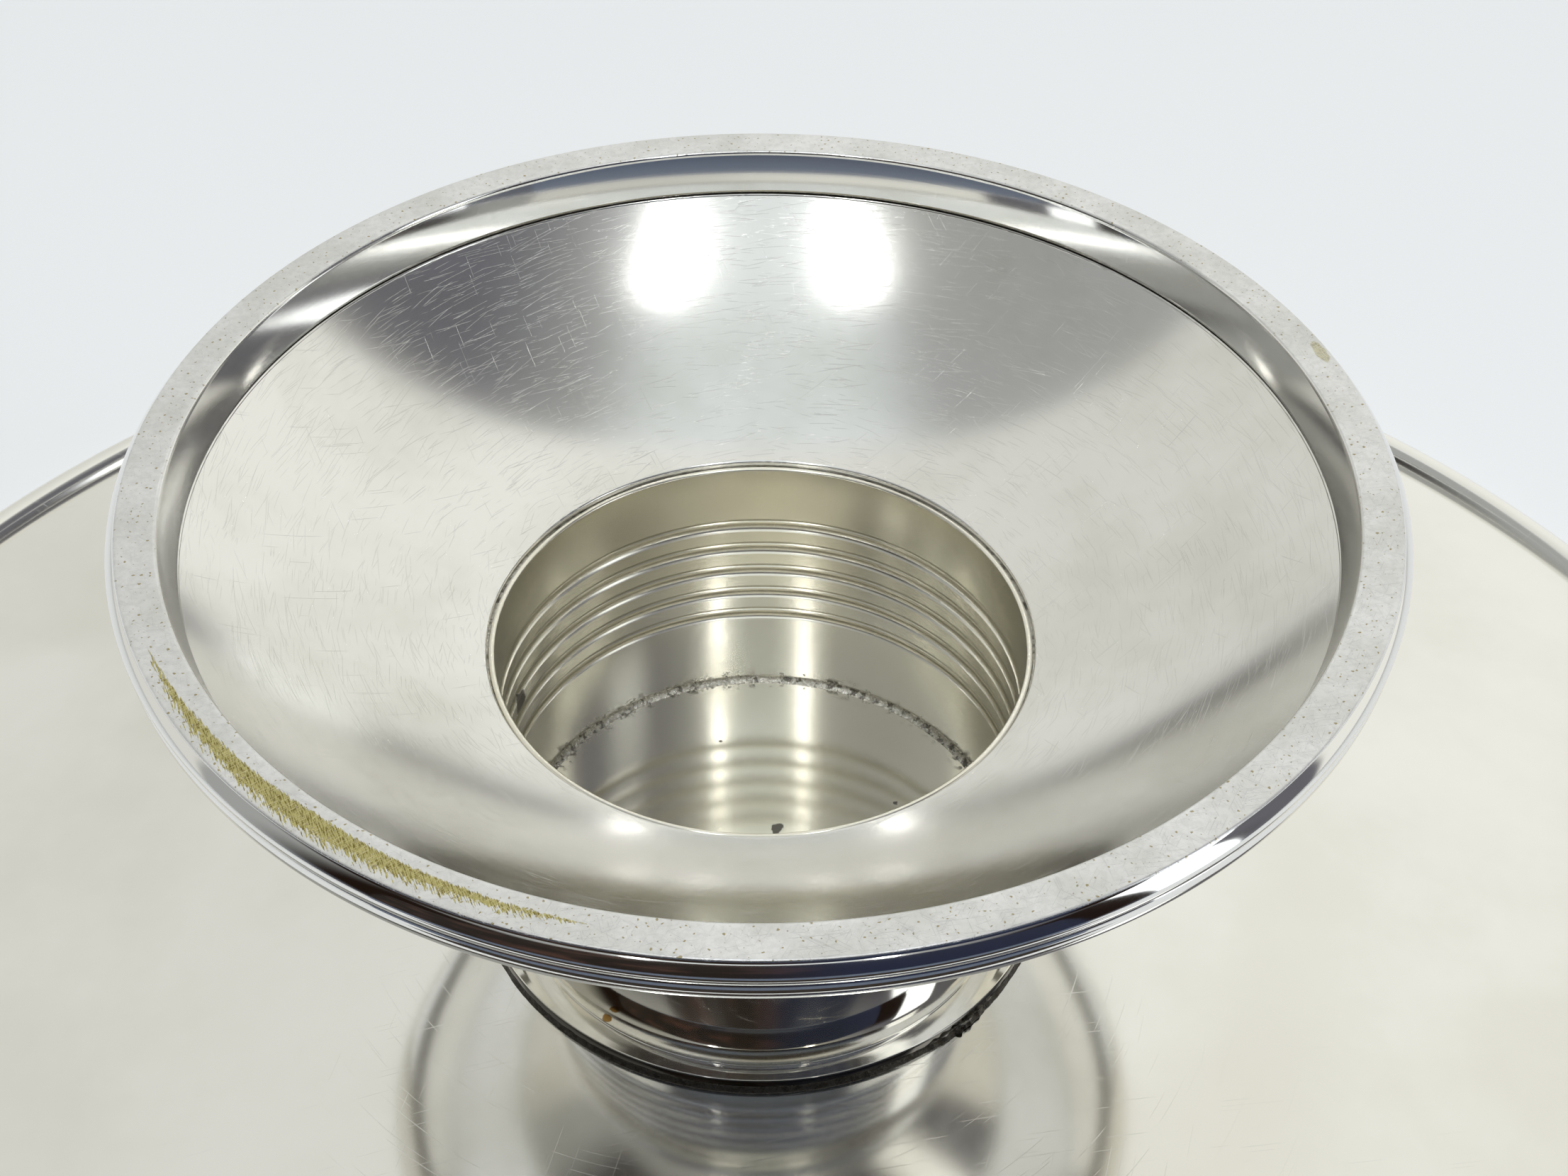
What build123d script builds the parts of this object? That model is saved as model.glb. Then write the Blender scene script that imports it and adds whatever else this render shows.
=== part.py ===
"""A silver-plated champagne bucket stand: a round tray on a short beaded stem and a wide foot.

The stand is turned over, so that it rests on the tray's rim with its foot ring on top.
Units are millimetres. +Z is up, and the origin is on the stand's axis in the plane that it rests
on. Every piece is a body of revolution about Z, so each section is drawn on XZ, as (radius, height).
"""

import os
from math import sqrt

from build123d import *

# ---- driving dimensions ----

foot_face_z = 98.0  # the foot ring's flat face, which is the stand's highest point
tray_sheet = 1.2  # thickness of the tray
dish_sheet = 1.2  # thickness of the foot dish
stem_wall = 0.9  # thickness of the stem tube

# tray: the outer surface falls from the middle to the rim
tray_middle_z = foot_face_z - 73.9
tray_flat_r = 22.5
tray_shoulder = (48.75, tray_middle_z - 1.76)
tray_swell = (75.0, tray_middle_z - 6.12)
tray_edge_slope = 0.118
rim_r = 2.8  # radius of the rim moulding's round section
rim_middle_r = 171.4
rim_slot_depth = 2.0
tray_edge_z = rim_r + 0.4

# mounting disc, between the stem and the tray
disc_r = 41.0
disc_floor_z = foot_face_z - 71.7
disc_edge_z = disc_floor_z - 1.0

# stem
stem_inner_r = 35.7
stem_outer_r = stem_inner_r + stem_wall
stem_top_z = foot_face_z - 29.35
bead_count = 5
bead_pitch = 4.38
first_bead_z = foot_face_z - 40.0
bead_r = 1.5
bead_height = 0.6  # how far a rolled bead stands out of the tube

# foot dish
lip_gap = 0.2
lip_inner_r = stem_outer_r + lip_gap
lip_end_z = foot_face_z - 32.0
lip_edge_z = foot_face_z - 29.1  # where the lip starts to bend out into the bowl
bowl_inner_r = lip_inner_r + 0.35
bowl_inner_z = foot_face_z - 28.7
bowl_middle = (56.6, foot_face_z - 19.85)  # a point halfway out along the bowl
dish_mouth_r = 73.4
dish_mouth_z = foot_face_z - 6.75
dish_top_z = foot_face_z - 6.45
dish_edge = 0.3  # radius of the bowl's edge, where it turns out into the flange
dish_flange_r = 76.4
neck = 0.9  # size of the bend outside the lip

# foot ring
ring_inner_r = 75.05
ring_face_r = 80.0
ring_outer_r = 81.6  # crest of the large bead
ring_throat_r = 73.42
ring_throat_bulge = 0.07  # how far the throat swells inward of a straight cone
ring_base_r = 76.8
ring_base_z = dish_top_z + 0.3
ring_inner_edge = 0.5
ring_outer_edge = (80.4, foot_face_z - 0.3)
bead_shoulder_middle = (81.01, foot_face_z - 0.9)
bead_shoulder = (81.5, foot_face_z - 1.6)  # where the nearly straight shoulder meets the large bead
large_bead_z = foot_face_z - 2.07
small_bead_z = foot_face_z - 4.3
bead_groove = (80.95, foot_face_z - 3.1)  # the bottom of the groove between the two beads
small_bead_crest_r = 81.35
small_bead_end = (80.7, foot_face_z - 5.6)
ring_under_r = 80.1  # where the hollow under the beads starts
ring_under_middle = (78.1, foot_face_z - 5.9)


os.makedirs("parts", exist_ok=True)

# ---- tray plate: a shallow round well whose edge sits in the rim moulding ----

tray_edge_r = rim_middle_r - rim_r

with BuildPart() as tray_plate:
    with BuildSketch(Plane.XZ):
        with BuildLine():
            Line((0, tray_middle_z), (tray_flat_r, tray_middle_z))
            Spline(
                (tray_flat_r, tray_middle_z),
                tray_shoulder,
                tray_swell,
                (tray_edge_r, tray_edge_z),
                tangents=[(1, 0), (1, -tray_edge_slope)],
            )
            Polyline(
                (tray_edge_r, tray_edge_z),
                (tray_edge_r + rim_slot_depth, tray_edge_z),
                (tray_edge_r + rim_slot_depth, tray_edge_z - tray_sheet),
                (tray_edge_r, tray_edge_z - tray_sheet),
            )
            Spline(
                (tray_edge_r, tray_edge_z - tray_sheet),
                (tray_swell[0], tray_swell[1] - tray_sheet),
                (tray_shoulder[0], tray_shoulder[1] - tray_sheet),
                (tray_flat_r, tray_middle_z - tray_sheet),
                tangents=[(-1, tray_edge_slope), (-1, 0)],
            )
            Polyline(
                (tray_flat_r, tray_middle_z - tray_sheet),
                (0, tray_middle_z - tray_sheet),
                (0, tray_middle_z),
            )
        make_face()
    revolve(axis=Axis.Z)
tray_plate.part.label = "tray_plate"
export_step(tray_plate.part, "parts/tray_plate.step")

# ---- rim moulding: a round ring, slotted on its inner side for the tray's edge ----

with BuildPart() as tray_rim_moulding:
    with BuildSketch(Plane.XZ):
        with Locations((rim_middle_r, rim_r)):
            Circle(rim_r)
        with Locations((tray_edge_r + rim_slot_depth / 2, tray_edge_z - tray_sheet / 2)):
            Rectangle(rim_slot_depth, tray_sheet, mode=Mode.SUBTRACT)
    revolve(axis=Axis.Z)
tray_rim_moulding.part.label = "tray_rim_moulding"
export_step(tray_rim_moulding.part, "parts/tray_rim_moulding.step")

# ---- mounting disc: carries the stem, with a bevel outside it ----

with BuildPart() as mounting_disc:
    with BuildSketch(Plane.XZ):
        with BuildLine():
            Polyline(
                (0, tray_middle_z),
                (disc_r, tray_middle_z),
                (disc_r, disc_edge_z),
                (stem_outer_r, disc_floor_z),
                (0, disc_floor_z),
                close=True,
            )
        make_face()
    revolve(axis=Axis.Z)
mounting_disc.part.label = "mounting_disc"
export_step(mounting_disc.part, "parts/mounting_disc.step")

# ---- stem tube: thin wall with rolled beads, raised outside and sunk inside ----

bead_heights = [first_bead_z - bead_pitch * i for i in range(bead_count)]
bead_sink = bead_r - bead_height
stem_length = stem_top_z - disc_floor_z
stem_middle_z = (stem_top_z + disc_floor_z) / 2

with BuildPart() as stem_tube:
    with BuildSketch(Plane.XZ):
        with Locations((stem_inner_r + stem_wall / 2, stem_middle_z)):
            Rectangle(stem_wall, stem_length)
        with Locations(*[(stem_outer_r - bead_sink, z) for z in bead_heights]):
            Circle(bead_r)
        with Locations((stem_inner_r - bead_r, stem_middle_z)):
            Rectangle(2 * bead_r, stem_length, mode=Mode.SUBTRACT)
        with Locations(*[(stem_inner_r - bead_sink, z) for z in bead_heights]):
            Circle(bead_r, mode=Mode.SUBTRACT)
    revolve(axis=Axis.Z)
stem_tube.part.label = "stem_tube"
export_step(stem_tube.part, "parts/stem_tube.step")

# ---- foot dish: a spun bowl with a flange under the ring and a lip round the stem's end ----

lip_outer_r = lip_inner_r + dish_sheet
bowl = ThreePointArc(
    (bowl_inner_r, bowl_inner_z), bowl_middle, (dish_mouth_r, dish_mouth_z), mode=Mode.PRIVATE
)
bowl_centre = bowl.arc_center
bowl_outside_radius = bowl.radius + dish_sheet


def bowl_outside(r):
    """The point of the bowl's outer side at this radius."""
    return (r, bowl_centre.Y - sqrt(bowl_outside_radius**2 - (r - bowl_centre.X) ** 2))


flange_under_z = dish_top_z - dish_sheet
flange_start_r = bowl_centre.X + sqrt(bowl_outside_radius**2 - (bowl_centre.Y - flange_under_z) ** 2)
neck_top = bowl_outside(lip_outer_r + neck)
neck_end = (lip_outer_r, neck_top[1] - neck)

with BuildPart() as foot_dish:
    with BuildSketch(Plane.XZ):
        with BuildLine():
            TangentArc(
                (dish_mouth_r + dish_edge, dish_top_z), (dish_mouth_r, dish_mouth_z), tangent=(-1, 0)
            )
            Polyline(
                (dish_mouth_r + dish_edge, dish_top_z),
                (dish_flange_r, dish_top_z),
                (dish_flange_r, flange_under_z),
                (flange_start_r, flange_under_z),
            )
            ThreePointArc((flange_start_r, flange_under_z), bowl_outside(bowl_middle[0]), neck_top)
            TangentArc(neck_end, neck_top, tangent=(0, 1))
            Polyline(
                neck_end,
                (lip_outer_r, lip_end_z),
                (lip_inner_r, lip_end_z),
                (lip_inner_r, lip_edge_z),
            )
            TangentArc((lip_inner_r, lip_edge_z), (bowl_inner_r, bowl_inner_z), tangent=(0, 1))
            ThreePointArc((bowl_inner_r, bowl_inner_z), bowl_middle, (dish_mouth_r, dish_mouth_z))
        make_face()
    revolve(axis=Axis.Z)
foot_dish.part.label = "foot_dish"
export_step(foot_dish.part, "parts/foot_dish.step")

# ---- foot ring: flat face, rolled inner wall, and a shoulder and two beads outside ----

ring_mouth = (ring_inner_r, foot_face_z - ring_inner_edge)
throat_middle = (
    (ring_throat_r + ring_inner_r) / 2 - ring_throat_bulge,
    (ring_base_z + foot_face_z - ring_inner_edge) / 2,
)
ring_under = (ring_under_r, small_bead_end[1])

with BuildPart() as foot_ring:
    with BuildSketch(Plane.XZ):
        with BuildLine():
            TangentArc(
                (ring_inner_r + ring_inner_edge, foot_face_z), ring_mouth, tangent=(-1, 0)
            )
            Line((ring_inner_r + ring_inner_edge, foot_face_z), (ring_face_r, foot_face_z))
            TangentArc((ring_face_r, foot_face_z), ring_outer_edge, tangent=(1, 0))
            ThreePointArc(ring_outer_edge, bead_shoulder_middle, bead_shoulder)
            ThreePointArc(bead_shoulder, (ring_outer_r, large_bead_z), bead_groove)
            ThreePointArc(bead_groove, (small_bead_crest_r, small_bead_z), small_bead_end)
            Line(small_bead_end, ring_under)
            ThreePointArc(ring_under, ring_under_middle, (ring_base_r, ring_base_z))
            Line((ring_base_r, ring_base_z), (ring_throat_r, ring_base_z))
            ThreePointArc((ring_throat_r, ring_base_z), throat_middle, ring_mouth)
        make_face()
    revolve(axis=Axis.Z)
foot_ring.part.label = "foot_ring"
export_step(foot_ring.part, "parts/foot_ring.step")

# ---- solder: between the foot ring and the dish, set back from the seam's mouth ----

seam_set_back = 0.4

with BuildPart() as foot_ring_solder:
    with BuildSketch(Plane.XZ):
        with BuildLine():
            Polyline(
                (ring_throat_r + seam_set_back, dish_top_z),
                (dish_flange_r, dish_top_z),
                (dish_flange_r, ring_base_z),
                (ring_throat_r + seam_set_back, ring_base_z),
                close=True,
            )
        make_face()
    revolve(axis=Axis.Z)
foot_ring_solder.part.label = "foot_ring_solder"
export_step(foot_ring_solder.part, "parts/foot_ring_solder.step")

# ---- solder: in the gap between the dish's lip and the stem's end ----

lip_solder_top_z = stem_top_z - 0.2

with BuildPart() as dish_lip_solder:
    with BuildSketch(Plane.XZ):
        with BuildLine():
            Polyline(
                (stem_outer_r, lip_end_z),
                (lip_inner_r, lip_end_z),
                (lip_inner_r, lip_solder_top_z),
                (stem_outer_r, lip_solder_top_z),
                close=True,
            )
        make_face()
    revolve(axis=Axis.Z)
dish_lip_solder.part.label = "dish_lip_solder"
export_step(dish_lip_solder.part, "parts/dish_lip_solder.step")

# ---- solder: a rough fillet inside the stem's base and a small one outside it ----

inner_fillet = 1.4
outer_fillet = 0.6
outer_fillet_foot = 0.4  # how far it runs down the disc's bevel
fillet_hollow = 0.45  # the inner fillet's waist, as a share of its size

with BuildPart() as stem_base_solder:
    with BuildSketch(Plane.XZ):
        with BuildLine():
            Line((stem_inner_r, disc_floor_z), (stem_inner_r, disc_floor_z + inner_fillet))
            ThreePointArc(
                (stem_inner_r, disc_floor_z + inner_fillet),
                (
                    stem_inner_r - fillet_hollow * inner_fillet,
                    disc_floor_z + fillet_hollow * inner_fillet,
                ),
                (stem_inner_r - inner_fillet, disc_floor_z),
            )
            Line((stem_inner_r - inner_fillet, disc_floor_z), (stem_inner_r, disc_floor_z))
        make_face()
        with BuildLine():
            Polyline(
                (stem_outer_r, disc_floor_z - outer_fillet_foot),
                (stem_outer_r + outer_fillet, disc_floor_z - outer_fillet_foot),
                (stem_outer_r, disc_floor_z + outer_fillet),
                close=True,
            )
        make_face()
    revolve(axis=Axis.Z)
    add(mounting_disc.part, mode=Mode.SUBTRACT)
stem_base_solder.part.label = "stem_base_solder"
export_step(stem_base_solder.part, "parts/stem_base_solder.step")

# ---- solder: fills the wedge under the disc's edge, where the tray curves away ----

solder_inner_r = 36.0
solder_toe_r = disc_r + 0.6
tray_depth_at_toe = 1.2  # a little more than the tray falls there

with BuildPart() as disc_edge_solder:
    with BuildSketch(Plane.XZ):
        with BuildLine():
            Polyline(
                (solder_inner_r, tray_middle_z),
                (disc_r, tray_middle_z),
                (solder_toe_r, tray_middle_z - tray_depth_at_toe),
                (solder_inner_r, tray_middle_z - tray_depth_at_toe),
                close=True,
            )
        make_face()
    revolve(axis=Axis.Z)
    add(tray_plate.part, mode=Mode.SUBTRACT)
disc_edge_solder.part.label = "disc_edge_solder"
export_step(disc_edge_solder.part, "parts/disc_edge_solder.step")
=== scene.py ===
"""Looks for the champagne bucket stand: silver plate, solder seams, floor, lights and camera.

Lengths are millimetres, as in the design, and mm() turns them into Blender's metres. Only the
floor, the cards and the lights are placed in metres directly.
Every piece is turned about the Z axis from a section of (radius, height) points.
"""

import math

import bmesh
import bpy
from mathutils import Matrix, Vector, noise


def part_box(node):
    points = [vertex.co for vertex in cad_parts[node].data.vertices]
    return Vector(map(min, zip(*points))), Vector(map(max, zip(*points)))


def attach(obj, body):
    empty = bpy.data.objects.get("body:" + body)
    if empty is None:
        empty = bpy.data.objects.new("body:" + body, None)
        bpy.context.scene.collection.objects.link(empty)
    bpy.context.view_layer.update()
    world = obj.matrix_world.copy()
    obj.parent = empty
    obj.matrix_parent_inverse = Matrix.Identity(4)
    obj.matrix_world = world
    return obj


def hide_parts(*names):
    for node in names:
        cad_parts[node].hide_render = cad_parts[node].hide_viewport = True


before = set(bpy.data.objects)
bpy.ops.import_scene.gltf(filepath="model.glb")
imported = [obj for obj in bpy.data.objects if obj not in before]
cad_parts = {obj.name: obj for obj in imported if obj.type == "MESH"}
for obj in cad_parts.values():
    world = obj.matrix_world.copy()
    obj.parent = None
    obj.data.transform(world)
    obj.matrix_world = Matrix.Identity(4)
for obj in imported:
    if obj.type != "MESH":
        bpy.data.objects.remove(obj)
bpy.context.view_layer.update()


def mm(length):
    return length / 1000.0


def top_of(node):
    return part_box(node)[1].z * 1000.0


def bottom_of(node):
    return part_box(node)[0].z * 1000.0


def radius_of(node):
    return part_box(node)[1].x * 1000.0


# ---- sizes that come from the frame ----

FACE_Z = top_of("foot_ring")
RING_BASE_Z = bottom_of("foot_ring")
RING_R = radius_of("foot_ring")
DISH_TOP_Z = top_of("foot_dish")
DISH_FLANGE_R = radius_of("foot_dish")
LIP_END_Z = bottom_of("foot_dish")
STEM_TOP_Z = top_of("stem_tube")
FLOOR_Z = top_of("mounting_disc")
DISC_R = radius_of("mounting_disc")
MIDDLE_Z = bottom_of("mounting_disc")
RIM_TOP_Z = top_of("tray_rim_moulding")
RIM_OUTER_R = radius_of("tray_rim_moulding")

# ---- sizes that repeat the design's own ----

SHEET = 1.2
STEM_INNER_R = 35.7
STEM_OUTER_R = 36.6
BEAD_R = 1.5
BEAD_HEIGHT = 0.6
BEAD_PITCH = 4.38
FIRST_BEAD_DEPTH = 40.0
BEAD_COUNT = 5
LIP_INNER_R = 36.8
LIP_OUTER_R = 38.0
LIP_EDGE_DEPTH = 29.1
BOWL_INNER = (37.15, 28.7)
BOWL_MIDDLE = (56.6, 19.85)
BOWL_MOUTH = (73.4, 6.75)
DISH_EDGE = 0.3
NECK = 0.9
RING_INNER_R = 75.05
RING_FACE_R = 80.0
RING_THROAT_R = 73.42
THROAT_BULGE = 0.07
RING_BASE_R = 76.8
RIM_R = RIM_TOP_Z / 2
TRAY_EDGE_R = RIM_OUTER_R - 2 * RIM_R
RIM_SLOT = 2.0

# the tray's outward slope at a few radii; between them it changes evenly
TRAY_SLOPES = ((22.5, 0.0), (48.75, 0.134), (75.0, 0.198), (172.5, 0.115))

# ---- places of marks, as angles about the axis in degrees ----

BRASS_ANGLE = -131  # middle of the long patch where the ring's plate is worn through
BRASS_HALF_ANGLE = 25
LUMPS_ANGLE = 313  # where solder is left standing on the disc's edge
LUMPS_SPREAD = 7.0


# ---- sections ----


def depth(value):
    """Height of a point this far below the foot's flat face."""
    return FACE_Z - value


def circle_through(a, b, c):
    """Centre and radius of the circle through three points."""
    d = 2 * (a[0] * (b[1] - c[1]) + b[0] * (c[1] - a[1]) + c[0] * (a[1] - b[1]))
    a2, b2, c2 = (p[0] ** 2 + p[1] ** 2 for p in (a, b, c))
    x = (a2 * (b[1] - c[1]) + b2 * (c[1] - a[1]) + c2 * (a[1] - b[1])) / d
    y = (a2 * (c[0] - b[0]) + b2 * (a[0] - c[0]) + c2 * (b[0] - a[0])) / d
    return (x, y), math.dist((x, y), a)


def arc(start, middle, end, steps):
    """Points on the circle through three points, from start to end."""
    (ox, oy), radius = circle_through(start, middle, end)
    first = math.atan2(start[1] - oy, start[0] - ox)
    through = (math.atan2(middle[1] - oy, middle[0] - ox) - first) % math.tau
    sweep = (math.atan2(end[1] - oy, end[0] - ox) - first) % math.tau
    if through > sweep:
        sweep -= math.tau
    angles = [first + sweep * i / steps for i in range(steps + 1)]
    return [(ox + radius * math.cos(a), oy + radius * math.sin(a)) for a in angles]


def line(start, end, steps=1):
    return [
        (start[0] + (end[0] - start[0]) * i / steps, start[1] + (end[1] - start[1]) * i / steps)
        for i in range(steps + 1)
    ]


def joined(*runs):
    """One section from several runs, with each shared end kept once."""
    points = []
    for run in runs:
        for point in run:
            if not points or math.dist(point, points[-1]) > 1e-6:
                points.append(point)
    if math.dist(points[0], points[-1]) < 1e-6:
        points.pop()
    return points


def tray_height(radius):
    """Height of the tray's outer surface: the slope, summed from the middle out to this radius."""
    fall = 0.0
    for (r0, s0), (r1, s1) in zip(TRAY_SLOPES, TRAY_SLOPES[1:]):
        if radius <= r0:
            break
        reach = min(radius, r1)
        slope = s0 + (s1 - s0) * (reach - r0) / (r1 - r0)
        fall += (s0 + slope) / 2 * (reach - r0)
    return MIDDLE_Z - fall


# ---- turning a section into a mesh ----


def shade(obj, sharp_degrees=32):
    obj.data.polygons.foreach_set("use_smooth", [True] * len(obj.data.polygons))
    obj.data.set_sharp_from_angle(angle=math.radians(sharp_degrees))


def turned(name, section, segments=360, closed=True, offset=None):
    """A ring turned from a closed section, or a disc where the section starts and ends on the axis.

    offset(radius, angle, height) gives a small (radial, vertical) shift, in millimetres.
    """
    mesh = bmesh.new()
    rows = []
    for r, z in section:
        if r < 1e-6:
            rows.append([mesh.verts.new((0, 0, mm(z)))])
            continue
        row = []
        for i in range(segments):
            angle = math.tau * i / segments
            dr, dz = offset(r, angle, z) if offset else (0.0, 0.0)
            x = mm(r + dr) * math.cos(angle)
            y = mm(r + dr) * math.sin(angle)
            row.append(mesh.verts.new((x, y, mm(z + dz))))
        rows.append(row)
    pairs = list(zip(rows, rows[1:]))
    if closed:
        pairs.append((rows[-1], rows[0]))
    for low, high in pairs:
        if len(low) == 1 and len(high) == 1:
            continue
        for i in range(segments):
            j = (i + 1) % segments
            if len(low) == 1:
                mesh.faces.new((low[0], high[j], high[i]))
            elif len(high) == 1:
                mesh.faces.new((low[i], low[j], high[0]))
            else:
                mesh.faces.new((low[i], low[j], high[j], high[i]))
    bmesh.ops.recalc_face_normals(mesh, faces=mesh.faces)
    data = bpy.data.meshes.new(name)
    mesh.to_mesh(data)
    mesh.free()
    obj = bpy.data.objects.new(name, data)
    bpy.context.scene.collection.objects.link(obj)
    shade(obj)
    return obj


def lumps(size, height, seed):
    """A shift that makes a solder seam uneven: lumps of this size and height, in millimetres."""

    def shift(radius, angle, z):
        where = Vector((radius * math.cos(angle), radius * math.sin(angle), z)) / size
        coarse = noise.noise(where + Vector((seed, 0, 0)))
        fine = noise.noise(where * 2.7 + Vector((0, seed, 0)))
        amount = height * (coarse + 0.6 * fine)
        return amount, amount

    return shift


def spun_wave(height, seed):
    """A shift that keeps a spun sheet from being perfectly true."""

    def shift(radius, angle, z):
        where = Vector((radius * math.cos(angle), radius * math.sin(angle), 0)) / 38.0
        return 0.0, height * noise.noise(where + Vector((seed, seed, 0)))

    return shift


# ---- pieces ----


def make_tray_plate():
    radii = [i * 1.5 for i in range(1, int(TRAY_EDGE_R / 1.5) + 1)] + [TRAY_EDGE_R]
    outer = [(0.0, MIDDLE_Z)] + [(r, tray_height(r)) for r in radii]
    edge_z = tray_height(TRAY_EDGE_R)
    lip = [
        (TRAY_EDGE_R + RIM_SLOT, edge_z),
        (TRAY_EDGE_R + RIM_SLOT, edge_z - SHEET),
    ]
    inner = [(r, z - SHEET) for r, z in reversed(outer)]
    section = joined(outer, lip, inner)
    return turned("tray_plate_silver", section, 420, offset=spun_wave(0.05, 3.0))


def make_tray_rim():
    left = (TRAY_EDGE_R, RIM_R)
    right = (RIM_OUTER_R, RIM_R)
    middle_r = (TRAY_EDGE_R + RIM_OUTER_R) / 2
    over = arc(left, (middle_r, 2 * RIM_R), right, 24)
    under = arc(right, (middle_r, 0.0), left, 24)
    return turned("tray_rim_silver", joined(over, under), 480)


def make_mounting_disc():
    floor = line((0.0, FLOOR_Z), (STEM_OUTER_R, FLOOR_Z), 24)
    bevel = arc((STEM_OUTER_R, FLOOR_Z), (39.0, FLOOR_Z - 0.4), (DISC_R - 0.25, FLOOR_Z - 0.95), 6)
    edge = arc(
        (DISC_R - 0.25, FLOOR_Z - 0.95), (DISC_R - 0.06, FLOOR_Z - 1.05), (DISC_R, FLOOR_Z - 1.25), 4
    )
    base = line((DISC_R, MIDDLE_Z), (0.0, MIDDLE_Z), 4)
    section = joined(floor, bevel, edge, base)
    return turned("mounting_disc_silver", section, offset=spun_wave(0.03, 9.0))


def bead_walls(wall_r):
    """The stem wall at one radius, from the bottom up, with its rolled beads."""
    sink = BEAD_R - BEAD_HEIGHT
    half = math.sqrt(BEAD_R**2 - sink**2)
    wall = [(wall_r, FLOOR_Z)]
    for i in reversed(range(BEAD_COUNT)):
        z = depth(FIRST_BEAD_DEPTH + BEAD_PITCH * i)
        wall.append((wall_r, z - half - 0.35))
        wall += arc((wall_r, z - half), (wall_r + BEAD_HEIGHT, z), (wall_r, z + half), 12)
        wall.append((wall_r, z + half + 0.35))
    wall.append((wall_r, STEM_TOP_Z - 0.45))
    return wall


def make_stem_tube():
    outer = bead_walls(STEM_OUTER_R)
    inner = bead_walls(STEM_INNER_R)
    rolled_end = arc(
        (STEM_OUTER_R, STEM_TOP_Z - 0.45),
        ((STEM_OUTER_R + STEM_INNER_R) / 2, STEM_TOP_Z),
        (STEM_INNER_R, STEM_TOP_Z - 0.45),
        10,
    )
    return turned("stem_tube_silver", joined(outer, rolled_end, list(reversed(inner))))


def make_foot_dish():
    start, middle, mouth = [(r, depth(d)) for r, d in (BOWL_INNER, BOWL_MIDDLE, BOWL_MOUTH)]
    centre, radius = circle_through(start, middle, mouth)
    outside_radius = radius + SHEET

    def outside(r):
        return (r, centre[1] - math.sqrt(outside_radius**2 - (r - centre[0]) ** 2))

    under_z = DISH_TOP_Z - SHEET
    under_r = centre[0] + math.sqrt(outside_radius**2 - (centre[1] - under_z) ** 2)
    flange = [(DISH_FLANGE_R, DISH_TOP_Z), (DISH_FLANGE_R, under_z), (under_r, under_z)]
    shell = arc(flange[-1], outside(BOWL_MIDDLE[0]), outside(LIP_OUTER_R + NECK), 60)
    neck_end = (LIP_OUTER_R, shell[-1][1] - NECK)
    neck = arc(shell[-1], (LIP_OUTER_R + NECK * 0.25, shell[-1][1] - NECK * 0.35), neck_end, 8)
    sleeve = [(LIP_OUTER_R, LIP_END_Z), (LIP_INNER_R, LIP_END_Z), (LIP_INNER_R, depth(LIP_EDGE_DEPTH))]
    lip = arc(sleeve[-1], (LIP_INNER_R + 0.09, depth(28.85)), start, 6)
    inside = arc(start, middle, mouth, 72)
    flange_edge = (BOWL_MOUTH[0] + DISH_EDGE, DISH_TOP_Z)
    edge = arc(mouth, (BOWL_MOUTH[0] + 0.1, DISH_TOP_Z - 0.09), flange_edge, 5)
    return turned(
        "foot_dish_silver",
        joined(flange, shell, neck, sleeve, lip, inside, edge),
        480,
        offset=spun_wave(0.04, 5.0),
    )


def make_foot_ring():
    inner_edge = arc(
        (RING_INNER_R, depth(0.5)), (RING_INNER_R + 0.14, depth(0.16)), (RING_INNER_R + 0.5, FACE_Z), 6
    )
    face = line((RING_INNER_R + 0.5, FACE_Z), (RING_FACE_R, FACE_Z), 8)
    outer_edge = arc((RING_FACE_R, FACE_Z), (RING_FACE_R + 0.27, depth(0.08)), (80.4, depth(0.3)), 5)
    shoulder = arc((80.4, depth(0.3)), (81.01, depth(0.9)), (81.5, depth(1.6)), 10)
    large_bead = arc((81.5, depth(1.6)), (RING_R, depth(2.07)), (80.95, depth(3.1)), 12)
    small_bead = arc((80.95, depth(3.1)), (81.35, depth(4.3)), (80.7, depth(5.6)), 14)
    under = arc((80.1, depth(5.6)), (78.1, depth(5.9)), (RING_BASE_R, RING_BASE_Z), 8)
    foot_of_throat = arc(
        (RING_THROAT_R + 0.3, RING_BASE_Z),
        (RING_THROAT_R + 0.09, RING_BASE_Z + 0.07),
        (RING_THROAT_R + 0.02, RING_BASE_Z + 0.25),
        4,
    )
    throat_middle = (
        (RING_THROAT_R + RING_INNER_R) / 2 - THROAT_BULGE,
        (RING_BASE_Z + depth(0.5)) / 2,
    )
    throat = arc(foot_of_throat[-1], throat_middle, (RING_INNER_R, depth(0.5)), 24)
    return turned(
        "foot_ring_silver",
        joined(
            inner_edge, face, outer_edge, shoulder, large_bead, small_bead, under, foot_of_throat, throat
        ),
        480,
    )


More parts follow.
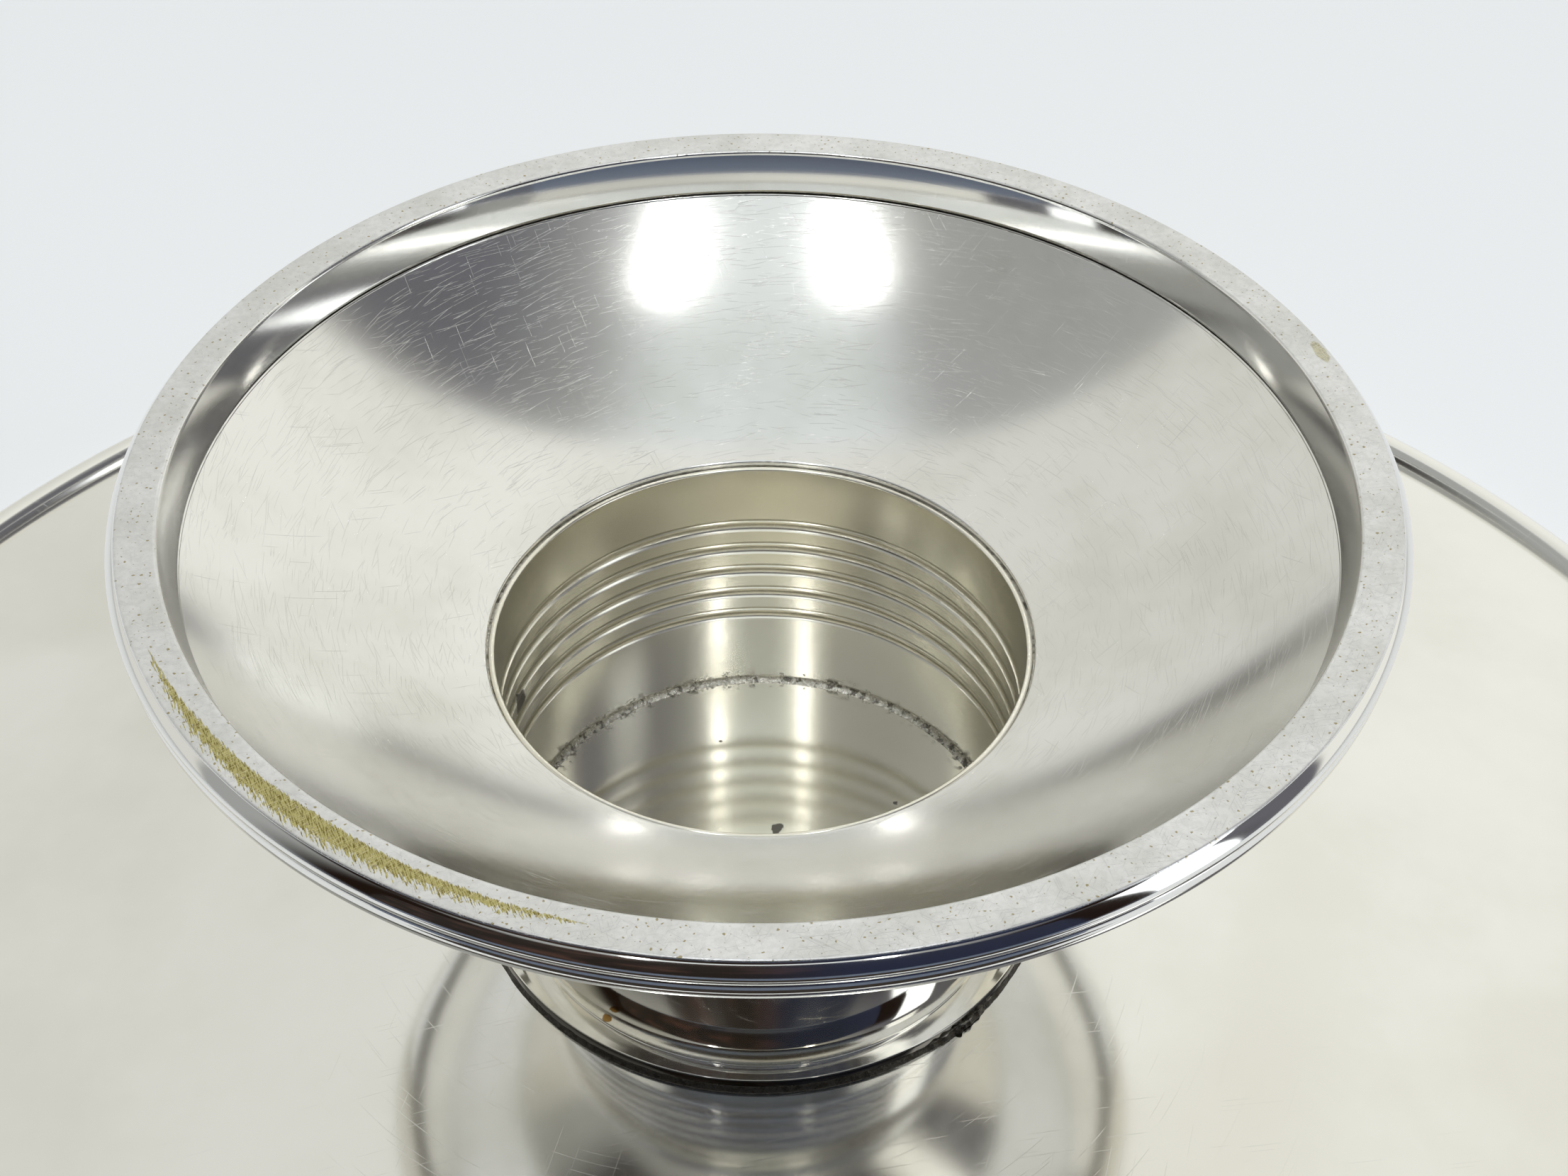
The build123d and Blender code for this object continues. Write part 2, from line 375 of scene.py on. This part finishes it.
def make_solder():
    """The four solder seams; three of them are lumpy, each in its own way."""
    ring_seam = [
        (RING_THROAT_R + 0.4, DISH_TOP_Z + 0.02),
        (DISH_FLANGE_R - 0.1, DISH_TOP_Z + 0.02),
        (DISH_FLANGE_R - 0.1, RING_BASE_Z - 0.02),
        (RING_THROAT_R + 0.4, RING_BASE_Z - 0.02),
    ]
    lip_seam = [
        (STEM_OUTER_R + 0.02, LIP_END_Z),
        (LIP_INNER_R - 0.02, LIP_END_Z),
        (LIP_INNER_R - 0.02, STEM_TOP_Z - 0.5),
        (STEM_OUTER_R + 0.02, STEM_TOP_Z - 0.5),
    ]
    base_seam = joined(
        [(STEM_INNER_R + 0.3, FLOOR_Z - 0.3), (STEM_INNER_R + 0.3, FLOOR_Z + 0.8)],
        arc(
            (STEM_INNER_R - 0.05, FLOOR_Z + 0.8),
            (STEM_INNER_R - 0.35, FLOOR_Z + 0.35),
            (STEM_INNER_R - 0.9, FLOOR_Z + 0.02),
            8,
        ),
        [(STEM_INNER_R - 1.0, FLOOR_Z - 0.3)],
    )
    edge_seam = joined(
        [(38.0, tray_height(38.0) - 0.2), (38.0, MIDDLE_Z + 0.1), (DISC_R - 0.2, MIDDLE_Z + 0.1)],
        arc(
            (DISC_R + 0.02, MIDDLE_Z + 0.05),
            (DISC_R + 0.12, MIDDLE_Z - 0.5),
            (DISC_R + 0.35, tray_height(DISC_R + 0.35) + 0.02),
            6,
        ),
        [(DISC_R + 0.35, tray_height(DISC_R + 0.35) - 0.2)],
    )
    return {
        "foot_ring_solder": turned("foot_ring_seam", ring_seam, 480),
        "dish_lip_solder": turned("dish_lip_seam", lip_seam, 720, offset=lumps(1.5, 0.05, 2.0)),
        "stem_base_solder": turned("stem_base_seam", base_seam, 900, offset=lumps(1.8, 0.1, 4.0)),
        "disc_edge_solder": turned("disc_edge_seam", edge_seam, 900, offset=edge_lumps),
    }


def edge_lumps(radius, angle, z):
    """Solder left standing at one side of the disc's edge; elsewhere it is nearly smooth."""
    off = math.degrees(angle) - LUMPS_ANGLE
    here = math.exp(-((off / LUMPS_SPREAD) ** 2))
    amount = lumps(1.6, 0.05 + 0.55 * here, 6.0)(radius, angle, z)[0]
    if radius < DISC_R:
        return 0.0, 0.0
    return amount + 0.25 * here, amount + 0.3 * here


# ---- materials ----


class Nodes:
    """Short forms for the shader nodes that the materials share."""

    def __init__(self, name):
        self.material = bpy.data.materials.new(name)
        self.material.use_nodes = True
        self.tree = self.material.node_tree
        self.tree.nodes.clear()
        output = self.tree.nodes.new("ShaderNodeOutputMaterial")
        self.shader = self.tree.nodes.new("ShaderNodeBsdfPrincipled")
        self.tree.links.new(self.shader.outputs[0], output.inputs["Surface"])
        coordinates = self.tree.nodes.new("ShaderNodeTexCoord")
        scale = self.tree.nodes.new("ShaderNodeVectorMath")
        scale.operation = "SCALE"
        scale.inputs["Scale"].default_value = 1000.0
        self.tree.links.new(coordinates.outputs["Object"], scale.inputs[0])
        self.place = scale.outputs[0]  # the point on the piece, in millimetres
        parts = self.tree.nodes.new("ShaderNodeSeparateXYZ")
        self.tree.links.new(self.place, parts.inputs[0])
        self.x, self.y, self.z = parts.outputs
        self.radius = self.math("SQRT", self.sum(self.times(self.x, self.x), self.times(self.y, self.y)))
        self.angle = self.math("ARCTAN2", self.y, self.x)

    def put(self, value, socket):
        if isinstance(value, bpy.types.NodeSocket):
            self.tree.links.new(value, socket)
        else:
            socket.default_value = value

    def math(self, operation, first, second=None):
        node = self.tree.nodes.new("ShaderNodeMath")
        node.operation = operation
        for value, socket in zip((first, second), node.inputs):
            if value is not None:
                self.put(value, socket)
        return node.outputs[0]

    def sum(self, first, second):
        return self.math("ADD", first, second)

    def minus(self, first, second):
        return self.math("SUBTRACT", first, second)

    def times(self, first, second):
        return self.math("MULTIPLY", first, second)

    def highest(self, *values):
        result = values[0]
        for value in values[1:]:
            result = self.math("MAXIMUM", result, value)
        return result

    def ramp(self, value, low, high, to_low=0.0, to_high=1.0):
        """A smooth step: to_low at low and below, to_high at high and above."""
        node = self.tree.nodes.new("ShaderNodeMapRange")
        node.interpolation_type = "SMOOTHSTEP"
        for item, socket in zip((value, low, high, to_low, to_high), node.inputs):
            self.put(item, socket)
        return node.outputs[0]

    def vector(self, x, y, z):
        node = self.tree.nodes.new("ShaderNodeCombineXYZ")
        for value, socket in zip((x, y, z), node.inputs):
            self.put(value, socket)
        return node.outputs[0]

    def noise(self, where, scale=1.0, detail=2.0, rough=0.5):
        node = self.tree.nodes.new("ShaderNodeTexNoise")
        self.tree.links.new(where, node.inputs["Vector"])
        node.inputs["Scale"].default_value = scale
        node.inputs["Detail"].default_value = detail
        node.inputs["Roughness"].default_value = rough
        return node.outputs["Fac"]

    def mix(self, share, first, second):
        node = self.tree.nodes.new("ShaderNodeMix")
        node.data_type = "RGBA"
        self.put(share, node.inputs[0])
        for value, socket in ((first, node.inputs[6]), (second, node.inputs[7])):
            self.put(value if isinstance(value, bpy.types.NodeSocket) else (*value, 1.0), socket)
        return node.outputs[2]

    def bump(self, height, strength, distance, onto=None):
        """height is 0 to 1, and distance is how tall 1 is, in millimetres."""
        node = self.tree.nodes.new("ShaderNodeBump")
        node.inputs["Strength"].default_value = strength
        node.inputs["Distance"].default_value = mm(distance)
        self.tree.links.new(height, node.inputs["Height"])
        if onto is not None:
            self.tree.links.new(onto, node.inputs["Normal"])
        return node.outputs[0]

    def around(self, length, width, tilt=0.0, seed=0.0):
        """Coordinates stretched round the axis: marks of this length along it and width across."""
        along = self.times(self.angle, 50.0)
        across = self.sum(self.radius, self.z)
        slanted = self.sum(across, self.times(along, math.tan(math.radians(tilt))))
        return self.vector(self.times(along, 1 / length), self.times(slanted, 1 / width), seed)

    def across(self, length, width, degrees, seed=0.0):
        """Coordinates for straight marks on a flat face, at an angle to the X axis."""
        c = math.cos(math.radians(degrees))
        s = math.sin(math.radians(degrees))
        along = self.sum(self.times(self.x, c), self.times(self.y, s))
        side = self.minus(self.times(self.y, c), self.times(self.x, s))
        return self.vector(self.times(along, 1 / length), self.times(side, 1 / width), seed)

    def scratches(self, where, share=0.66):
        """Thin marks where a stretched noise is high. A greater share leaves fewer of them."""
        return self.ramp(self.noise(where, 1.0, 1.0), share, share + 0.05)

    def spots(self, size, share, seed):
        where = self.vector(self.sum(self.x, seed), self.y, self.z)
        return self.ramp(self.noise(where, 1 / size, 0.0), share, share + 0.04)

    def blot(self, x, y, z, size, stretch=1.0, angle=0.0):
        """A ragged mark at one point, this long, and as many times longer as wide as stretch says."""
        dx, dy, dz = self.minus(self.x, x), self.minus(self.y, y), self.minus(self.z, z)
        c = math.cos(math.radians(angle))
        s = math.sin(math.radians(angle))
        along = self.sum(self.times(dx, c), self.times(dy, s))
        side = self.times(self.minus(self.times(dy, c), self.times(dx, s)), stretch)
        reach = self.sum(self.times(along, along), self.times(side, side))
        reach = self.math("SQRT", self.sum(reach, self.times(dz, dz)))
        unevenness = self.minus(self.noise(self.place, 1.6 / size, 3.0), 0.5)
        ragged = self.sum(reach, self.times(unevenness, size))
        return self.ramp(ragged, size * 0.55, size * 0.4)

    def finish(self, colour, roughness, normal, metallic=1.0):
        self.put(colour, self.shader.inputs["Base Color"])
        self.put(roughness, self.shader.inputs["Roughness"])
        self.put(metallic, self.shader.inputs["Metallic"])
        if normal is not None:
            self.put(normal, self.shader.inputs["Normal"])
        return self.material


CLEAN_SILVER = (0.86, 0.85, 0.82)
WARM_SILVER = (0.80, 0.765, 0.66)
CLOUDED_SILVER = (0.74, 0.73, 0.68)
TARNISH = (0.42, 0.36, 0.22)
BRASS = (0.52, 0.47, 0.2)
# near black for real dirt and grime, and also for painted shade in seams and gaps
DIRT_AND_SHADE = (0.035, 0.028, 0.018)
RUST = (0.33, 0.19, 0.06)
SOLDER_GREY = (0.46, 0.44, 0.38)


def dish_material():
    n = Nodes("dish_silver")
    swirls = n.highest(
        n.scratches(n.around(9.0, 0.16, 8, 1.0), 0.68),
        n.scratches(n.around(7.0, 0.14, -12, 2.0), 0.69),
        n.scratches(n.around(12.0, 0.2, 25, 3.0), 0.71),
    )
    straight = n.highest(
        n.scratches(n.across(14.0, 0.12, 35, 4.0), 0.73),
        n.scratches(n.across(11.0, 0.12, 118, 5.0), 0.74),
    )
    lines = n.noise(n.around(60.0, 0.35, 0, 6.0), 1.0, 3.0, 0.7)
    clouds = n.noise(n.place, 0.035, 4.0, 0.6)
    marks = n.highest(swirls, straight)
    # painted shade: the flat flange under the ring's foot is coloured near black for the shade in the
    # gap between ring and dish
    flange_gap_shade = n.times(n.ramp(n.radius, BOWL_MOUTH[0] + 0.2, BOWL_MOUTH[0] + 0.3), 0.8)
    colour = n.mix(n.ramp(clouds, 0.35, 0.75), CLEAN_SILVER, CLOUDED_SILVER)
    colour = n.mix(flange_gap_shade, colour, DIRT_AND_SHADE)
    roughness = n.sum(n.ramp(clouds, 0.3, 0.8, 0.14, 0.19), n.times(marks, 0.1))
    normal = n.bump(lines, 0.25, 0.004)
    normal = n.bump(marks, 0.7, 0.016, normal)
    return n.finish(colour, roughness, normal)


def ring_material():
    n = Nodes("ring_silver")
    on_face = n.ramp(n.z, FACE_Z - 0.25, FACE_Z - 0.05)
    scuffs = n.highest(
        *[n.scratches(n.across(3.5 + k, 0.1, 23 + 41 * k, 10.0 + k), 0.68) for k in range(5)]
    )
    pits = n.spots(0.5, 0.74, 31.0)
    lines = n.noise(n.around(80.0, 0.3, 0, 16.0), 1.0, 2.0)
    clouds = n.noise(n.place, 0.12, 3.0, 0.6)
    wear = brass_wear(n)
    mottle = n.ramp(n.noise(n.place, 1.1, 4.0, 0.7), 0.4, 0.62)
    worn = n.mix(n.ramp(clouds, 0.3, 0.7), (0.82, 0.82, 0.82), (0.73, 0.73, 0.71))
    worn = n.mix(n.times(mottle, 0.35), worn, (0.62, 0.62, 0.61))
    colour = n.mix(on_face, CLEAN_SILVER, worn)
    strokes = n.ramp(n.noise(n.across(1.1, 0.14, 112, 23.0), 1.0, 2.0), 0.45, 0.62)
    glints = n.ramp(n.noise(n.across(1.4, 0.12, 38, 27.0), 1.0, 2.0), 0.52, 0.66)
    brass = n.mix(strokes, BRASS, (0.20, 0.16, 0.045))
    brass = n.mix(glints, brass, (0.62, 0.56, 0.30))
    colour = n.mix(n.times(on_face, wear), colour, brass)
    colour = n.mix(n.times(on_face, pits), colour, TARNISH)
    rough_face = n.sum(n.ramp(clouds, 0.3, 0.7, 0.34, 0.46), n.times(scuffs, 0.2))
    roughness = n.sum(0.07, n.times(on_face, n.minus(rough_face, 0.07)))
    marks = n.times(on_face, n.highest(scuffs, pits))
    normal = n.bump(lines, 0.15, 0.004)
    normal = n.bump(marks, 0.6, 0.03, normal)
    return n.finish(colour, roughness, normal)


def brass_wear(n):
    """Where the plate is worn through: a long tapering patch and a small oval spot."""
    off_angle = n.minus(n.angle, math.radians(BRASS_ANGLE))
    along = n.times(off_angle, 1 / math.radians(BRASS_HALF_ANGLE))
    off_end = n.minus(1.0, n.times(n.math("ABSOLUTE", n.minus(along, 0.08)), 1 / 1.06))
    taper = n.math("POWER", n.math("MAXIMUM", off_end, 0.0), 0.8)
    hatch = n.noise(n.across(1.6, 0.2, 112, 20.0), 1.0, 3.0)
    middle_r = n.minus(78.1, n.times(along, 0.55))
    off_middle = n.minus(n.radius, middle_r)
    outward = n.ramp(off_middle, -0.3, 0.6, 0.35, 1.3)
    ragged = n.times(n.times(n.minus(hatch, 0.5), 4.0), outward)
    half_width = n.sum(n.times(taper, 1.5), n.times(ragged, n.ramp(taper, 0.0, 0.3)))
    patch = n.ramp(n.minus(half_width, n.math("ABSOLUTE", off_middle)), 0.0, 0.2)
    spot = n.blot(75.1, 24.9, FACE_Z, 5.2, 3.4, 104)
    return n.highest(n.times(patch, n.ramp(taper, 0.0, 0.08)), n.times(spot, 0.55))


def stem_material():
    n = Nodes("stem_silver")
    lines = n.noise(n.around(90.0, 0.25, 0, 21.0), 1.0, 3.0, 0.7)
    clouds = n.noise(n.place, 0.05, 1.0)
    inside = n.ramp(n.radius, STEM_OUTER_R + 0.1, STEM_OUTER_R - 0.5)
    on_wall = n.ramp(n.z, FLOOR_Z + 0.1, FLOOR_Z + 0.5)
    wall_silver = n.mix(n.ramp(clouds, 0.3, 0.75), (0.86, 0.835, 0.74), (0.80, 0.77, 0.66))
    warm = n.mix(on_wall, (0.92, 0.91, 0.85), wall_silver)
    clean = n.mix(n.ramp(clouds, 0.35, 0.7), CLEAN_SILVER, WARM_SILVER)
    colour = n.mix(inside, clean, warm)
    base_dirt = n.times(
        n.ramp(n.z, FLOOR_Z + 2.2, FLOOR_Z + 0.9),
        n.ramp(n.noise(n.place, 0.7, 2.0, 0.6), 0.56, 0.7),
    )
    marks = n.highest(
        n.blot(2.5, 4.0, FLOOR_Z, 1.9),
        n.blot(20.0, 9.0, FLOOR_Z, 0.7),
        n.blot(-6.2, 22.0, FLOOR_Z, 0.5),
        n.blot(-34.5, 9.5, FLOOR_Z + 20.5, 3.4),
    )
    dirt = n.times(inside, n.highest(n.times(base_dirt, n.ramp(n.radius, 33.0, 35.0)), marks))
    # painted shade: the disc's outer edge is coloured near black for the shade in the gap down to the
    # tray; the dirt mixed in with it is real
    disc_edge_shade = n.times(n.ramp(n.radius, DISC_R - 0.15, DISC_R - 0.05), 0.9)
    colour = n.mix(n.highest(n.times(dirt, 0.8), disc_edge_shade), colour, DIRT_AND_SHADE)
    colour = n.mix(n.blot(-21.0, -31.0, FLOOR_Z - 0.3, 1.4), colour, RUST)
    wall = n.ramp(n.radius, STEM_INNER_R - 1.5, STEM_INNER_R - 0.3, 0.0, 0.1)
    rough_inside = n.sum(n.sum(n.ramp(clouds, 0.3, 0.8, 0.11, 0.15), wall), n.times(dirt, 0.4))
    roughness = n.sum(0.05, n.times(inside, n.minus(rough_inside, 0.05)))
    normal = n.bump(n.times(lines, n.sum(0.2, n.times(inside, 0.8))), 0.3, 0.006)
    return n.finish(colour, roughness, normal)


def tray_material():
    n = Nodes("tray_silver")
    wipes = n.highest(
        n.scratches(n.across(16.0, 0.22, 12, 31.0), 0.70),
        n.scratches(n.across(22.0, 0.25, 74, 32.0), 0.72),
        n.scratches(n.around(18.0, 0.2, 6, 33.0), 0.69),
    )
    clouds = n.noise(n.place, 0.02, 5.0, 0.62)
    stains = n.ramp(n.noise(n.place, 0.011, 3.0, 0.55), 0.54, 0.66)
    colour = n.mix(n.ramp(clouds, 0.3, 0.75), (0.91, 0.90, 0.865), (0.84, 0.825, 0.775))
    colour = n.mix(n.times(stains, 0.3), colour, (0.70, 0.67, 0.58))
    matt = n.ramp(n.radius, 60.0, 95.0, 0.0, 0.04)
    roughness = n.sum(n.sum(n.ramp(clouds, 0.25, 0.8, 0.08, 0.115), matt), n.times(wipes, 0.08))
    normal = n.bump(wipes, 0.35, 0.008)
    return n.finish(colour, roughness, normal)


def solder_material():
    n = Nodes("solder")
    grains = n.noise(n.place, 2.2, 4.0, 0.65)
    dirt = n.ramp(n.noise(n.place, 0.8, 3.0, 0.7), 0.48, 0.62)
    # painted shade: the ring's seam and the foot of the disc's edge seam are coloured near black for the
    # shade in those gaps; the grime mixed in before it is real
    gap_shaded_solder = n.highest(n.ramp(n.radius, 60.0, 61.0), n.ramp(n.z, MIDDLE_Z + 0.2, MIDDLE_Z + 0.1))
    colour = n.mix(n.ramp(grains, 0.35, 0.65), SOLDER_GREY, (0.74, 0.72, 0.66))
    colour = n.mix(n.times(dirt, 0.75), colour, DIRT_AND_SHADE)
    colour = n.mix(n.times(gap_shaded_solder, 0.93), colour, DIRT_AND_SHADE)
    roughness = n.ramp(grains, 0.3, 0.7, 0.45, 0.22)
    return n.finish(colour, roughness, n.bump(grains, 0.6, 0.25), 0.9)


def cloth_material():
    n = Nodes("pale_cloth")
    # painted shade: the cloth's colour varies a little as the shade of folds would
    fold_shade = n.noise(n.place, 0.004, 2.0)
    colour = n.mix(fold_shade, (0.93, 0.945, 0.975), (0.96, 0.97, 0.99))
    weave = n.noise(n.place, 1.2, 2.0)
    return n.finish(colour, 0.9, n.bump(weave, 0.1, 0.1), 0.0)


# ---- building, naming and placing ----


def add_piece(obj, node, material):
    obj.data.materials.append(material)
    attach(obj, "root")
    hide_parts(node)


def build_stand():
    tray = tray_material()
    stem = stem_material()
    solder = solder_material()
    add_piece(make_tray_plate(), "tray_plate", tray)
    add_piece(make_tray_rim(), "tray_rim_moulding", tray)
    add_piece(make_mounting_disc(), "mounting_disc", stem)
    add_piece(make_stem_tube(), "stem_tube", stem)
    add_piece(make_foot_dish(), "foot_dish", dish_material())
    add_piece(make_foot_ring(), "foot_ring", ring_material())
    for node, seam in make_solder().items():
        add_piece(seam, node, solder)


# ---- floor, cards, lights and camera; the first three are placed in metres ----

FLOOR_REACH = 20.0  # from the axis to each side of the floor
CARD_Y = -0.52  # the upright card's plane, which is also the flat card's far edge
CARD_TOP = 0.53
CEILING = 1.6


def build_floor():
    mesh = bmesh.new()
    bmesh.ops.create_grid(mesh, x_segments=2, y_segments=2, size=FLOOR_REACH)
    data = bpy.data.meshes.new("floor")
    mesh.to_mesh(data)
    mesh.free()
    floor = bpy.data.objects.new("floor", data)
    bpy.context.scene.collection.objects.link(floor)
    floor.data.materials.append(cloth_material())


def build_dark_cards():
    """Dark cards: an upright one where the photographer would be, and a flat dark sheet on the floor in
    front of the stand.

    Only the silver's reflections show them, and they take no light from the floor.
    """
    n = Nodes("dark_felt")
    # painted shade: the felt's browns vary as the shade of folds would
    fold_shade = n.ramp(n.noise(n.place, 0.01, 3.0), 0.45, 0.7)
    brown = n.mix(fold_shade, (0.016, 0.009, 0.006), (0.075, 0.036, 0.026))
    upper = n.mix(n.ramp(n.x, -60.0, 140.0), brown, (0.014, 0.019, 0.05))
    low = n.ramp(n.z, 190.0, 120.0)
    felt = n.finish(n.mix(low, upper, (0.15, 0.18, 0.25)), 1.0, None, 0.0)
    # a flat dark brown sheet on the floor between camera and stand; only the silver's reflections show
    # it
    n = Nodes("dark_floor_sheet")
    weave = n.noise(n.place, 0.03, 3.0)
    floor_sheet_finish = n.finish(n.mix(weave, (0.02, 0.014, 0.01), (0.04, 0.028, 0.02)), 1.0, None, 0.0)
    left, right = -0.77, 0.53
    upright = [
        (left, CARD_Y, 0.0),
        (right, CARD_Y, 0.0),
        (right, CARD_Y, CARD_TOP),
        (left, CARD_Y, CARD_TOP),
    ]
    flat = [
        (-0.45, CARD_Y, 0.001),
        (0.4, CARD_Y, 0.001),
        (0.22, -0.2, 0.001),
        (-0.22, -0.2, 0.001),
    ]
    for name, corners, material in (("card", upright, felt), ("flat_card", flat, floor_sheet_finish)):
        data = bpy.data.meshes.new(name)
        data.from_pydata(corners, [], [(0, 1, 2, 3)])
        data.materials.append(material)
        card = bpy.data.objects.new(name, data)
        card.visible_camera = False
        card.visible_diffuse = False
        card.visible_shadow = False
        bpy.context.scene.collection.objects.link(card)


def area_light(name, place, target, size, power, colour=(1, 1, 1)):
    data = bpy.data.lights.new(name, "AREA")
    data.shape = "RECTANGLE"
    data.size, data.size_y = size
    data.energy = power
    data.color = colour
    lamp = bpy.data.objects.new(name, data)
    lamp.location = place
    direction = Vector(target) - Vector(place)
    lamp.rotation_euler = direction.to_track_quat("-Z", "Y").to_euler()
    lamp.visible_camera = False
    bpy.context.scene.collection.objects.link(lamp)
    return lamp


def build_lights():
    """Two ceiling tubes and two lamps behind the camera, two small spots ahead, and a window.

    The fill light only brightens the floor: it stays out of the silver's reflections.
    """
    for side in (-1, 1):
        tube = (side * 0.33, -0.56, CEILING)
        area_light(f"tube_{side + 1}", tube, (tube[0], tube[1], 0), (0.09, 0.46), 1.7)
        lamp = (side * 0.56, -1.5, CEILING)
        area_light(f"lamp_{side + 1}", lamp, (0, 0, 0.06), (0.08, 0.24), 0.7)
        spot = (side * 0.1, 1.5, 1.37)
        area_light(f"spot_{side + 1}", spot, (0, 0, 0.09), (0.03, 0.03), 0.15)
    area_light("window", (1.62, -0.74, 0.78), (0, 0, 0.3), (0.5, 1.45), 4.2, (0.93, 0.97, 1.0))
    fill = area_light("fill", (0, 0.4, 1.9), (0, 0.4, 0), (1.6, 1.6), 8.1, (0.96, 0.98, 1.0))
    fill.visible_glossy = False


def build_world():
    """A white backdrop ahead, a greyer ceiling, and a dark side behind the camera."""
    world = bpy.data.worlds.new("room")
    world.use_nodes = True
    bpy.context.scene.world = world
    tree = world.node_tree
    nodes, links = tree.nodes, tree.links
    coordinates = nodes.new("ShaderNodeTexCoord")
    parts = nodes.new("ShaderNodeSeparateXYZ")
    links.new(coordinates.outputs["Generated"], parts.inputs[0])
    x, y, z = parts.outputs

    def put(value, socket):
        if isinstance(value, bpy.types.NodeSocket):
            links.new(value, socket)
        else:
            socket.default_value = value

    def ramp(value, low, high, to_low=0.0, to_high=1.0):
        node = nodes.new("ShaderNodeMapRange")
        node.interpolation_type = "SMOOTHSTEP"
        for item, socket in zip((value, low, high, to_low, to_high), node.inputs):
            put(item, socket)
        return node.outputs[0]

    def math_node(operation, first, second=0.0):
        node = nodes.new("ShaderNodeMath")
        node.operation = operation
        put(first, node.inputs[0])
        put(second, node.inputs[1])
        return node.outputs[0]

    def mix(share, first, second):
        node = nodes.new("ShaderNodeMix")
        node.data_type = "RGBA"
        put(share, node.inputs[0])
        for value, socket in ((first, node.inputs[6]), (second, node.inputs[7])):
            put(value if isinstance(value, bpy.types.NodeSocket) else (*value, 1.0), socket)
        return node.outputs[2]

    beyond_edge = math_node("SUBTRACT", y, math_node("MULTIPLY", z, 0.24))
    backdrop = ramp(beyond_edge, -0.02, 0.03)
    off_middle = math_node("ABSOLUTE", x)
    wall = mix(ramp(x, -0.5, 0.4), (0.74, 0.745, 0.71), (0.92, 0.925, 0.88))
    ceiling = mix(ramp(off_middle, 0.16, 0.36), (0.78, 0.83, 0.84), (0.38, 0.39, 0.385))
    ceiling = mix(ramp(x, 0.25, 0.62), ceiling, (0.14, 0.14, 0.16))
    room = mix(backdrop, ceiling, wall)
    behind = math_node("MULTIPLY", ramp(z, 0.66, 0.58), ramp(y, -0.12, -0.42))
    horizon = ramp(z, 0.02, 0.16)
    dark = mix(horizon, (0.12, 0.13, 0.16), (0.014, 0.008, 0.0055))
    room = mix(behind, room, dark)
    links.new(room, nodes["Background"].inputs["Color"])


def build_camera():
    """The photograph's view: about 42 degrees down, a little under 40 cm from the foot."""
    data = bpy.data.cameras.new("camera")
    data.sensor_fit = "HORIZONTAL"
    data.sensor_width = 36.0
    data.lens = 55.66
    camera = bpy.data.objects.new("camera", data)
    bpy.context.scene.collection.objects.link(camera)
    yaw = math.radians(0.69)
    pitch = math.radians(41.7)
    roll = math.radians(0.36)
    forward = Vector(
        (math.sin(yaw) * math.cos(pitch), math.cos(yaw) * math.cos(pitch), -math.sin(pitch))
    )
    level = Vector((math.cos(yaw), -math.sin(yaw), 0.0))
    upright = level.cross(forward)
    right = math.cos(roll) * level + math.sin(roll) * upright
    above = math.cos(roll) * upright - math.sin(roll) * level
    matrix = Matrix((right, above, -forward)).transposed().to_4x4()
    matrix.translation = Vector((mm(0.2), mm(-239.5), mm(FACE_Z + 192.7)))
    camera.matrix_world = matrix
    bpy.context.scene.camera = camera


build_stand()
build_floor()
build_dark_cards()
build_lights()
build_world()
build_camera()

scene = bpy.context.scene
scene.view_settings.view_transform = "Standard"
scene.view_settings.look = "None"
